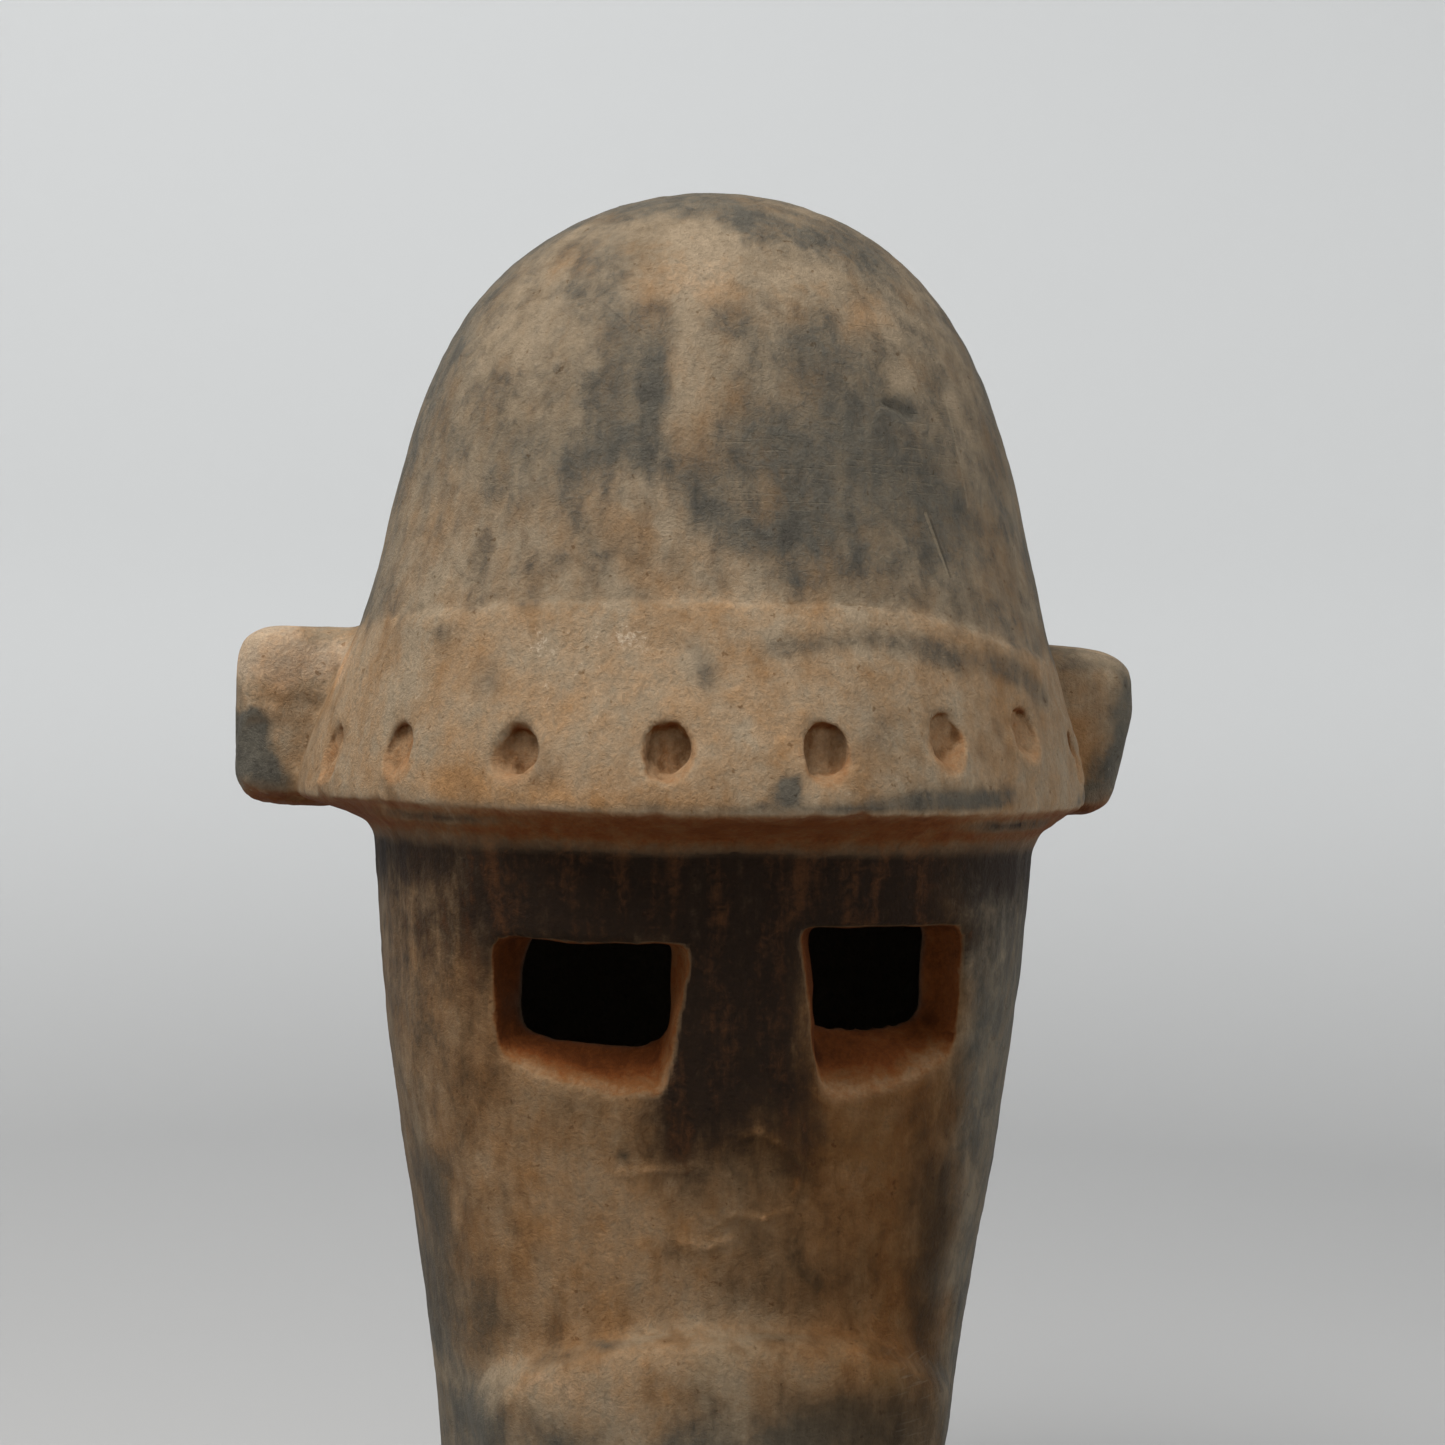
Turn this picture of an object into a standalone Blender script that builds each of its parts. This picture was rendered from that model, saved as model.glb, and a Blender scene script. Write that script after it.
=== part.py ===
"""A carved wooden helmet mask: one hollow piece of wood that stands on its open rim.

The face looks along -Y and +Z is up. Lengths are in metres, angles run from the front
towards +X, and each level of the carving is an outline around the mask's upright axis.
"""

import math
from collections import namedtuple

import bmesh
import bpy
import numpy as np

# Heights of the three stages, from the open rim up
FACE_HEIGHT = 0.344
BAND_HEIGHT = 0.0695
DOME_HEIGHT = 0.1545

# Walls of the hollow
SIDE_WALL = 0.012
FRONT_WALL = 0.021
BACK_WALL = 0.016
CROWN_WALL = 0.022
CROWN_PAD_SHARE = 0.93

# Face tube: half widths and reaches to front and back, at equal steps from rim to brow
TUBE_HALF_WIDTHS = (0.0950, 0.0905, 0.1000, 0.1140, 0.1215)
TUBE_FRONTS = (0.0960, 0.0940, 0.0990, 0.1040, 0.1070)
TUBE_BACKS = (0.1260, 0.1220, 0.1280, 0.1340, 0.1380)
TUBE_WIDEST = 0.028
FACE_POWER = 2.8
NAPE_POWER = 2.3

# Brim and its sloping band, which is widest behind the axis
BRIM_HALF_WIDTH = 0.151
BRIM_DEPTH = 0.295
BRIM_FRONT = 0.135
BRIM_WIDEST = 0.040
BRIM_POWER = 1.83
LIP_RADIUS = 0.004
UNDERSIDE_DROP = 0.008
COVE_SHARES = ((0.12, 0.15), (0.40, 0.50), (1.0, 1.0))
BAND_SWELL = 1.25

# Dome: a bell whose foot flares to meet the band
DOME_HALF_WIDTH = 0.1105
DOME_FLARE = 0.0165
DOME_FRONT = 0.104
DOME_BACK = 0.130
DOME_WIDEST = 0.010
DOME_PLAN_POWER = 2.15
DOME_ARCH_POWER = 3.00
FLARE_POWER = 3.0
FOOT_SIDE_DROP = 0.006

# Side lugs
LUG_REACH = 0.1735
LUG_ROOT = 0.100
LUG_HEIGHT = 0.0675
LUG_BELOW_BRIM = 0.0035
LUG_DEPTH = 0.050
LUG_CENTRE_BACK = 0.048
LUG_EDGE_RADIUS = 0.011
LUG_TAPER = 0.92

# Blind holes along the band's front, from lug to lug
HOLE_SPACING = 0.0512
HOLE_DRIFTS = (-0.004, -0.003, -0.002, -0.001, -0.001, -0.004, -0.009, -0.002)
HOLE_RISES = (-0.005, -0.003, -0.002, 0.0, 0.0, 0.004, 0.007, 0.0)
HOLE_WIDTH = 0.0180
HOLE_TALL = 0.0212
HOLE_DEPTH = 0.009
HOLE_ABOVE_BRIM = 0.0215
HOLE_FLOOR_SHARE = 0.80

# Eyes: edges inside the wall, their splay on the face, and drops below the brim and the opening
EYE_INNER = 0.0230
EYE_OUTER = 0.0660
EYE_TOP_DROP = 0.0385
EYE_HEIGHT = 0.0330
EYE_NOSE_SPLAY = 0.0065
EYE_TEMPLE_SPLAY = 0.0135
SILL_TEMPLE_DROP = 0.009
SILL_NOSE_DROP = 0.022
SILL_NOSE_SHIFT = 0.010
SILL_TEMPLE_SHIFT = 0.003
EYE_CORNER = 0.005
EYE_STAGGER = 0.0026

# Low nose between and below the eyes
NOSE_OFFSET = 0.003
NOSE_LENGTH = 0.126
NOSE_TOP_DROP = 0.008
NOSE_BRIDGE = 0.030
NOSE_END_WIDTH = 0.054
NOSE_RELIEF = 0.004

# Muzzle with an arched ledge above and a blind mouth slot
MUZZLE_TOP_DROP = 0.1665
MUZZLE_BOTTOM = 0.010
MUZZLE_SIDE_INSET = 0.015
MUZZLE_SIDE_FADE = 0.010
MUZZLE_RELIEF = 0.016
MUZZLE_ARCH = 0.026
MUZZLE_POWER = 2.5
MOUTH_WIDTH = 0.096
MOUTH_HEIGHT = 0.010
MOUTH_DEPTH = 0.011
MOUTH_ABOVE_MUZZLE = 0.082

# Facets, and how far a cutter runs past what it cuts
RING_SIDES = 64
HOLLOW_SIDES = 48
HOLE_SIDES = 14
TUBE_STEPS = 12
BAND_STEPS = 6
DOME_STEPS = 13
DOME_LAST_TURN = math.radians(86.5)
CROWN_TIP_SCALE = 0.035
HOLLOW_STEPS = 9
HALVINGS = 40
CUT_MARGIN = 0.012

BRIM_TOP = FACE_HEIGHT + BAND_HEIGHT
MASK_HEIGHT = BRIM_TOP + DOME_HEIGHT
BRIM_BACK = BRIM_DEPTH - BRIM_FRONT
FARTHEST = 2 * BRIM_HALF_WIDTH

Outline = namedtuple("Outline", "half_width front back widest front_power back_power")


def blend(lower, upper, share):
    """Outline part of the way from one outline to another."""
    return Outline(*(a + (b - a) * share for a, b in zip(lower, upper)))


def inset(outline, side, front, back):
    """Outline moved inward by the walls at its sides, front and back."""
    return outline._replace(half_width=outline.half_width - side,
                            front=outline.front - front, back=outline.back - back)


def scaled(outline, scale):
    """Outline drawn smaller or larger around the axis."""
    return outline._replace(half_width=outline.half_width * scale, front=outline.front * scale,
                            back=outline.back * scale, widest=outline.widest * scale)


def reach(outline, angles):
    """Distance from the axis to the outline in each direction, found by halving."""
    near = np.zeros(len(angles))
    far = np.full(len(angles), FARTHEST)
    for _ in range(HALVINGS):
        middle = (near + far) / 2
        across = np.abs(middle * np.sin(angles)) / outline.half_width
        along = -middle * np.cos(angles) - outline.widest
        in_front = along < 0
        depth = np.where(in_front, outline.front + outline.widest, outline.back - outline.widest)
        power = np.where(in_front, outline.front_power, outline.back_power)
        outside = across ** power + (np.abs(along) / depth) ** power > 1
        far = np.where(outside, middle, far)
        near = np.where(outside, near, middle)
    return (near + far) / 2


def front_skin(outline, across):
    """Depth at which the front half of an outline lies, a distance across from the axis."""
    share = abs(across / outline.half_width) ** outline.front_power
    return outline.widest - (outline.front + outline.widest) * (1 - share) ** (1 / outline.front_power)


def level_ring(outline, height, sides=RING_SIDES, side_drop=0.0):
    """Points around one level, a little lower at the sides where side_drop says so."""
    angles = np.arange(sides) * 2 * math.pi / sides
    radii = reach(outline, angles)
    heights = height - side_drop * np.sin(angles) ** 2
    return list(zip(radii * np.sin(angles), -radii * np.cos(angles), heights))


def smooth_value(values, share):
    """Value at a share of the way along equally spaced values, on a smooth curve."""
    last = len(values) - 1
    index = min(int(share * last), last - 1)
    part = share * last - index
    before = values[max(index - 1, 0)]
    start, end = values[index], values[index + 1]
    after = values[min(index + 2, last)]
    start_slope = (end - before) / 2
    end_slope = (after - start) / 2
    return (start * (1 + 2 * part) * (1 - part) ** 2 + end * part ** 2 * (3 - 2 * part)
            + start_slope * part * (1 - part) ** 2 + end_slope * part ** 2 * (part - 1))


def tube_outline(height):
    """Outline of the face tube at one height, from the rim to the brow."""
    share = min(max(height / FACE_HEIGHT, 0.0), 1.0)
    return Outline(smooth_value(TUBE_HALF_WIDTHS, share), smooth_value(TUBE_FRONTS, share),
                   smooth_value(TUBE_BACKS, share), TUBE_WIDEST, FACE_POWER, NAPE_POWER)


def dome_scale(share):
    """Width of the dome at a share of its height, against its width at the foot."""
    arch = DOME_HALF_WIDTH * math.sqrt(max(1 - share ** DOME_ARCH_POWER, 0.0))
    flare = DOME_FLARE * (1 - share) ** FLARE_POWER
    return (arch + flare) / (DOME_HALF_WIDTH + DOME_FLARE)


BROW = tube_outline(FACE_HEIGHT)
BRIM = Outline(BRIM_HALF_WIDTH, BRIM_FRONT, BRIM_BACK, BRIM_WIDEST, BRIM_POWER, BRIM_POWER)
DOME_FOOT = Outline(DOME_HALF_WIDTH + DOME_FLARE, DOME_FRONT, DOME_BACK, DOME_WIDEST,
                    DOME_PLAN_POWER, DOME_PLAN_POWER)


def band_outline(height):
    """Outline of the sloping band at one height above the brim's lower edge."""
    share = (height - FACE_HEIGHT) / BAND_HEIGHT
    return blend(BRIM, DOME_FOOT, share ** BAND_SWELL)


def loft(name, rings, collection):
    """Closed object whose skin runs through rings of equal length, capped at both ends."""
    mesh = bpy.data.meshes.new(name)
    work = bmesh.new()
    loops = [[work.verts.new(point) for point in ring] for ring in rings]
    for lower, upper in zip(loops, loops[1:]):
        for start in range(len(lower)):
            end = (start + 1) % len(lower)
            work.faces.new((lower[start], lower[end], upper[end], upper[start]))
    work.faces.new(reversed(loops[0]))
    work.faces.new(loops[-1])
    bmesh.ops.recalc_face_normals(work, faces=work.faces)
    work.to_mesh(mesh)
    work.free()
    mesh.shade_smooth()
    mesh.set_sharp_from_angle(angle=math.radians(40))
    made = bpy.data.objects.new(name, mesh)
    collection.objects.link(made)
    return made


def helper_look(helper):
    """Show a helper solid as a wire frame that is never rendered."""
    helper.hide_render = True
    helper.display_type = "WIRE"
    return helper


def tube_rings():
    """Levels of the face tube, from the open rim to the root of the brim's underside."""
    root = FACE_HEIGHT - UNDERSIDE_DROP
    heights = [root * step / TUBE_STEPS for step in range(TUBE_STEPS)] + [root - UNDERSIDE_DROP / 2]
    return [level_ring(tube_outline(height), height) for height in heights]


def brim_rings():
    """Levels around the brim: out along its coved underside, round the lip and up the band."""
    lip_inner = inset(BRIM, LIP_RADIUS, LIP_RADIUS, LIP_RADIUS)
    rings = [level_ring(blend(BROW, lip_inner, out), FACE_HEIGHT - UNDERSIDE_DROP * (1 - rise))
             for out, rise in COVE_SHARES]
    for turn in (math.radians(45), math.radians(90)):
        pull = LIP_RADIUS * (1 - math.sin(turn))
        height = FACE_HEIGHT + LIP_RADIUS * (1 - math.cos(turn))
        rings.append(level_ring(inset(band_outline(height), pull, pull, pull), height))
    for step in range(1, BAND_STEPS + 1):
        share = step / BAND_STEPS
        height = FACE_HEIGHT + LIP_RADIUS + (BAND_HEIGHT - LIP_RADIUS) * share
        rings.append(level_ring(band_outline(height), height, side_drop=FOOT_SIDE_DROP * share))
    return rings


def dome_rings():
    """Levels of the dome, closer together towards the crown."""
    rings = []
    for step in range(1, DOME_STEPS + 1):
        share = math.sin(step / DOME_STEPS * DOME_LAST_TURN)
        rings.append(level_ring(scaled(DOME_FOOT, dome_scale(share)), BRIM_TOP + DOME_HEIGHT * share,
                                side_drop=FOOT_SIDE_DROP * (1 - share) ** FLARE_POWER))
    rings.append(level_ring(scaled(DOME_FOOT, CROWN_TIP_SCALE), MASK_HEIGHT))
    return rings


def hollow_rings():
    """Levels of the hollow: up the tube, past the brim and into the dome."""
    walls = (SIDE_WALL, FRONT_WALL, BACK_WALL)
    foot = inset(DOME_FOOT, SIDE_WALL, SIDE_WALL, SIDE_WALL)
    rings = [level_ring(inset(tube_outline(0), *walls), -CUT_MARGIN, HOLLOW_SIDES)]
    for step in range(HOLLOW_STEPS + 1):
        height = FACE_HEIGHT * step / HOLLOW_STEPS
        rings.append(level_ring(inset(tube_outline(height), *walls), height, HOLLOW_SIDES))
    rings.append(level_ring(blend(inset(BROW, *walls), foot, 0.5),
                            FACE_HEIGHT + BAND_HEIGHT / 2, HOLLOW_SIDES))
    for step in range(HOLLOW_STEPS + 1):
        share = step / HOLLOW_STEPS
        rings.append(level_ring(scaled(foot, dome_scale(share * CROWN_PAD_SHARE)),
                                BRIM_TOP + (DOME_HEIGHT - CROWN_WALL) * share, HOLLOW_SIDES))
    return rings


def rounded_corners(corners, radius, steps=4):
    """Closed polygon with each corner eased by a short curve."""
    corners = [np.array(corner, dtype=float) for corner in corners]
    points = []
    for index, corner in enumerate(corners):
        to_last = corners[index - 1] - corner
        to_next = corners[(index + 1) % len(corners)] - corner
        start = corner + to_last / np.linalg.norm(to_last) * radius
        end = corner + to_next / np.linalg.norm(to_next) * radius
        for step in range(steps):
            part = step / (steps - 1)
            points.append(start * (1 - part) ** 2 + corner * 2 * part * (1 - part)
                          + end * part ** 2)
    return points


def eye_cutter(side, collection):
    """Cutter for one eye: a rectangle inside the wall, splayed to a wider outline on the face."""
    top = FACE_HEIGHT - EYE_TOP_DROP + side * EYE_STAGGER
    bottom = top - EYE_HEIGHT
    sill = FACE_HEIGHT - EYE_TOP_DROP - EYE_HEIGHT
    inner = EYE_INNER + side * NOSE_OFFSET
    nose_edge = inner - EYE_NOSE_SPLAY
    temple_edge = EYE_OUTER + EYE_TEMPLE_SPLAY
    hole_corners = ((inner, top), (EYE_OUTER, top), (EYE_OUTER, bottom), (inner, bottom))
    face_corners = ((nose_edge, top), (temple_edge, top),
                    (temple_edge - SILL_TEMPLE_SHIFT, sill - SILL_TEMPLE_DROP),
                    (nose_edge + SILL_NOSE_SHIFT, sill - SILL_NOSE_DROP))
    walls = (SIDE_WALL, FRONT_WALL, BACK_WALL)
    inside = [np.array((x, front_skin(inset(tube_outline(z), *walls), x), z))
              for x, z in rounded_corners(hole_corners, EYE_CORNER)]
    outside = [np.array((x, front_skin(tube_outline(z), x), z))
               for x, z in rounded_corners(face_corners, EYE_CORNER)]
    inward = np.array((0.0, CUT_MARGIN, 0.0))
    margin_share = CUT_MARGIN / FRONT_WALL
    rings = ([point + inward for point in inside], inside, outside,
             [skin + (skin - hole) * margin_share for hole, skin in zip(inside, outside)])
    mirrored = [[(side * x, y, z) for x, y, z in ring] for ring in rings]
    return loft("eye_cut_left" if side < 0 else "eye_cut_right", mirrored, collection)


def hole_angles():
    """Directions of the band's holes, spaced along the band from the front and a little uneven."""
    outline = band_outline(FACE_HEIGHT + HOLE_ABOVE_BRIM)
    angles = np.radians(np.arange(0, 150, 0.25))
    radii = reach(outline, angles)
    steps = np.hypot(np.diff(radii * np.sin(angles)), np.diff(radii * np.cos(angles)))
    walked = np.concatenate(([0.0], np.cumsum(steps)))
    last = len(HOLE_DRIFTS) - 1
    places = (np.arange(last + 1) - last / 2) * HOLE_SPACING + np.array(HOLE_DRIFTS)
    return np.sign(places) * np.interp(np.abs(places), walked, angles)


def band_direction(outline, angle):
    """Outward direction, level, of the outline's skin at one angle."""
    nudge = math.radians(1.0)
    angles = np.array([angle - nudge, angle + nudge])
    radii = reach(outline, angles)
    x = radii * np.sin(angles)
    y = -radii * np.cos(angles)
    return math.atan2(y[1] - y[0], x[1] - x[0]) - math.pi / 2


def hole_cutters(collection):
    """One object with the tapered plugs that sink the band's blind holes."""
    mesh = bpy.data.meshes.new("band_hole_cuts")
    work = bmesh.new()
    length = HOLE_DEPTH + CUT_MARGIN
    for angle, rise in zip(hole_angles(), HOLE_RISES):
        height = FACE_HEIGHT + HOLE_ABOVE_BRIM + rise
        outline = band_outline(height)
        radius = reach(outline, np.array([angle]))[0]
        centre = np.array([radius * math.sin(angle), -radius * math.cos(angle), height])
        plug = bmesh.ops.create_cone(work, cap_ends=True, segments=HOLE_SIDES, depth=length,
                                     radius1=HOLE_WIDTH / 2 * HOLE_FLOOR_SHARE,
                                     radius2=HOLE_WIDTH / 2 * (1 + CUT_MARGIN / length * 0.2))
        facing = band_direction(outline, angle)
        outward = np.array([math.cos(facing), math.sin(facing), 0.0])
        sideways = np.array([-math.sin(facing), math.cos(facing), 0.0])
        for vert in plug["verts"]:
            away = vert.co.z + length / 2 - HOLE_DEPTH
            place = centre + outward * away + sideways * vert.co.x
            vert.co = (place[0], place[1], place[2] + vert.co.y * HOLE_TALL / HOLE_WIDTH)
    bmesh.ops.recalc_face_normals(work, faces=work.faces)
    work.to_mesh(mesh)
    work.free()
    made = bpy.data.objects.new("band_hole_cuts", mesh)
    collection.objects.link(made)
    return made


def lug(side, collection):
    """Block that stands out at one side of the band, with eased edges and a slight taper."""
    mesh = bpy.data.meshes.new("lug_block")
    work = bmesh.new()
    bmesh.ops.create_cube(work, size=1.0)
    length = LUG_REACH - LUG_ROOT
    for vert in work.verts:
        taper = LUG_TAPER if vert.co.x > 0 else 1.0
        across = side * (LUG_ROOT + (vert.co.x + 0.5) * length)
        back = LUG_CENTRE_BACK + vert.co.y * LUG_DEPTH * taper
        up = FACE_HEIGHT - LUG_BELOW_BRIM + (vert.co.z + 0.5) * LUG_HEIGHT
        vert.co = (across, back, up)
    bmesh.ops.recalc_face_normals(work, faces=work.faces)
    bmesh.ops.bevel(work, geom=work.edges[:], offset=LUG_EDGE_RADIUS, segments=3, profile=0.5,
                    affect="EDGES", clamp_overlap=True)
    work.to_mesh(mesh)
    work.free()
    mesh.shade_smooth()
    name = "lug_left" if side < 0 else "lug_right"
    made = bpy.data.objects.new(name, mesh)
    collection.objects.link(made)
    return made


def nose(collection):
    """Low wedge that widens downward and ends in a blunt, rounded tip."""
    top = FACE_HEIGHT - NOSE_TOP_DROP
    steps = 9
    rings = []
    for step in range(steps + 1):
        share = step / steps
        height = top - NOSE_LENGTH * share
        tip = math.sqrt(max(1 - share ** 8, 0.12))
        half_width = (NOSE_BRIDGE + (NOSE_END_WIDTH - NOSE_BRIDGE) * share ** 1.5) / 2 * tip
        relief = NOSE_RELIEF * share * tip
        outline = tube_outline(height)
        ring = []
        for turn in np.linspace(0, math.pi, 9):
            across = NOSE_OFFSET - half_width * math.cos(turn)
            ring.append((across, front_skin(outline, across) - relief * math.sin(turn), height))
        for across in (NOSE_OFFSET + half_width, NOSE_OFFSET - half_width):
            ring.append((across, -outline.front + FRONT_WALL / 2, height))
        rings.append(ring)
    return loft("nose", rings, collection)


def muzzle(collection):
    """Jutting lower face whose upper edge is an arched ledge and whose foot fades into the rim."""
    tall = FACE_HEIGHT - MUZZLE_TOP_DROP - MUZZLE_BOTTOM
    stages = ((0.0, -0.20), (0.10, 0.12), (0.25, 0.50), (0.45, 0.88), (0.65, 1.0), (0.90, 1.0),
              (0.955, 0.93), (0.985, 0.72), (1.0, 0.30))
    rings = []
    for share, swell in stages:
        height = MUZZLE_BOTTOM + tall * share
        tube = tube_outline(height)
        half_width = tube.half_width - MUZZLE_SIDE_INSET - MUZZLE_SIDE_FADE * (1 - swell)
        outline = Outline(half_width, tube.front + MUZZLE_RELIEF * swell, tube.back / 2,
                          -tube.front / 2, MUZZLE_POWER, 2.0)
        rings.append([(x, y, z - MUZZLE_ARCH * share * abs(x / half_width) ** 3)
                      for x, y, z in level_ring(outline, height, HOLLOW_SIDES)])
    return loft("muzzle", rings, collection)


def mouth_cutter(collection):
    """Cutter for the blind slot across the muzzle."""
    centre = MUZZLE_BOTTOM + MOUTH_ABOVE_MUZZLE
    surface = -tube_outline(centre).front - MUZZLE_RELIEF
    corners = ((-MOUTH_WIDTH / 2, centre - MOUTH_HEIGHT / 2),
               (MOUTH_WIDTH / 2, centre - MOUTH_HEIGHT / 2),
               (MOUTH_WIDTH / 2, centre + MOUTH_HEIGHT / 2),
               (-MOUTH_WIDTH / 2, centre + MOUTH_HEIGHT / 2))
    outline = rounded_corners(corners, MOUTH_HEIGHT * 0.45)
    rings = [[(x, depth, z) for x, z in outline]
             for depth in (surface + MOUTH_DEPTH, surface - CUT_MARGIN)]
    return loft("mouth_cut", rings, collection)


def wood_material():
    """Dry, worn brown wood."""
    material = bpy.data.materials.new("carved_wood")
    material.use_nodes = True
    shader = material.node_tree.nodes["Principled BSDF"]
    shader.inputs["Base Color"].default_value = (0.16, 0.10, 0.065, 1.0)
    shader.inputs["Roughness"].default_value = 0.75
    shader.inputs["Metallic"].default_value = 0.0
    return material


def join(body, helper, operation):
    """Add a helper solid to the body, or cut it away, keeping the exact solver."""
    step = body.modifiers.new(f"{operation.lower()} {helper.name}", "BOOLEAN")
    step.operation = operation
    step.solver = "EXACT"
    step.object = helper_look(helper)


def build():
    """Model the mask with its hollow, eyes, band holes and mouth."""
    for leftover in list(bpy.data.objects):
        bpy.data.objects.remove(leftover)
    scene = bpy.context.scene
    parts = bpy.data.collections.new("toma_helmet_mask")
    additions = bpy.data.collections.new("additions")
    cutters = bpy.data.collections.new("cutters")
    for collection in (parts, additions, cutters):
        scene.collection.children.link(collection)

    body = loft("helmet_mask", [*tube_rings(), *brim_rings(), *dome_rings()], parts)
    body.data.materials.append(wood_material())
    for addition in (muzzle(additions), nose(additions)):
        join(body, addition, "UNION")
    join(body, hole_cutters(cutters), "DIFFERENCE")
    for addition in (lug(-1, additions), lug(1, additions)):
        join(body, addition, "UNION")
    for cutter in (loft("hollow_cut", hollow_rings(), cutters), eye_cutter(-1, cutters),
                   eye_cutter(1, cutters), mouth_cutter(cutters)):
        join(body, cutter, "DIFFERENCE")

    frame = bpy.data.objects.new("mask_frame", None)
    parts.objects.link(frame)
    frame.location.y = (BRIM_FRONT - BRIM_BACK) / 2
    for piece in (body, *additions.objects, *cutters.objects):
        piece.parent = frame


build()
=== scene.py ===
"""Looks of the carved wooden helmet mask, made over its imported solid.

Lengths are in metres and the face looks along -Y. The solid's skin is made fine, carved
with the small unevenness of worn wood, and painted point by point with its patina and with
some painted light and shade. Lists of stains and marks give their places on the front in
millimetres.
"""

import itertools
import math

import bmesh
import bpy
import numpy as np
from mathutils import Matrix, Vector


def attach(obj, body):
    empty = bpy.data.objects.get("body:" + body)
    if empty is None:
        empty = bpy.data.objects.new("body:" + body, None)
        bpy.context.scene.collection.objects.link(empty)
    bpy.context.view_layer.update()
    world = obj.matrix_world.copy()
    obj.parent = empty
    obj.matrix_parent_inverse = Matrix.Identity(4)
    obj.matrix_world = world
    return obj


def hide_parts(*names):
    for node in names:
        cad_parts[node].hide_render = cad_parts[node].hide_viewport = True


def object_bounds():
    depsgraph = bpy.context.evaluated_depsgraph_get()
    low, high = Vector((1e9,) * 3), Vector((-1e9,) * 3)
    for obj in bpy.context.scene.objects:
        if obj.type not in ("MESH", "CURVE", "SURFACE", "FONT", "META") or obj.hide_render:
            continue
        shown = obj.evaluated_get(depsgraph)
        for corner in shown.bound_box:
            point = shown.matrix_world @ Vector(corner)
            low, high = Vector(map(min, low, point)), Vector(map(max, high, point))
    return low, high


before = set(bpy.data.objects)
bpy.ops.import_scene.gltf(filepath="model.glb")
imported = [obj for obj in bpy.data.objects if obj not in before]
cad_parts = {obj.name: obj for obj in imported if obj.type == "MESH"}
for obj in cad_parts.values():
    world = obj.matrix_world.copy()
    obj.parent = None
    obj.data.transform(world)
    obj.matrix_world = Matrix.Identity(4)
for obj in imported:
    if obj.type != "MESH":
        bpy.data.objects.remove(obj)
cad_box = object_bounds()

MM = 0.001

# Where the upright axis stands, and heights on it
AXIS_Y = -0.0125
BRIM_EDGE = 0.344
BAND_TOP = 0.4135
BAND_TOP_SIDE_DROP = 0.006
BAND_TOP_RIGHT_DROP = 0.010
DOME_CENTRE = 0.400

# Smooth skin of the face: half width and reach at one height, what they gain for each metre up,
# where it is widest, and how square its plan is
FACE_HEIGHT = 0.258
FACE_HALF_WIDTH, FACE_WIDENING = 0.114, 0.087
FACE_REACH, FACE_LEANING = 0.104, 0.035
FACE_WIDEST = 0.028
FACE_POWER = 2.8

# Skin: width of its first cells, and how many triangles are kept
CELL = 0.0016
KEPT_TRIANGLES = 192000

# Cells along one side of the block of random numbers that the noise repeats
LATTICE = 40

# The band's holes: middle x, y, z in millimetres, the direction they face in degrees, and how
# much of the solid's depth each keeps: those towards the sides are worn to shallow dents
HOLES = (
    (-136.4, -33.7, 360.5, -160, .22), (-111.2, -79.6, 362.5, -143, .36),
    (-73.8, -115.9, 363.5, -125, .85), (-26.3, -137.1, 365.5, -104, .90),
    (24.4, -137.5, 365.5, -77, .75), (68.0, -118.0, 369.5, -58, .45), (102.4, -88.0, 372.5, -41, .40),
    (133.4, -39.2, 365.5, -22, .35))
HOLE_HALF = (9.0, 10.6)
HOLE_REACH = (-13, 4)
BAND_SLOPE = 0.45

# Grooves worn into the band beside the lugs, and ridges: ends as degrees round from the front
# and height, half width, and depth in millimetres, less than 0 where it stands proud
MM_PER_DEGREE = 2.6
GROOVES = (
    ((-98.6, 371), (-99.6, 356), 1.8, 0.9), ((-80.0, 368), (-85.5, 347), 3.0, 1.0),
    ((-99.3, 380), (-102.4, 361), 1.6, 0.7), ((-102.4, 361), (-100.4, 344), 1.6, 0.7),
    ((63.6, 384), (80.3, 373), 2.6, -0.8), ((80.3, 373), (97.0, 355), 2.6, -0.9),
    ((97.0, 355), (97.5, 346), 2.6, -0.5), ((83.5, 375), (97.5, 358), 1.8, 0.9))

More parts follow.
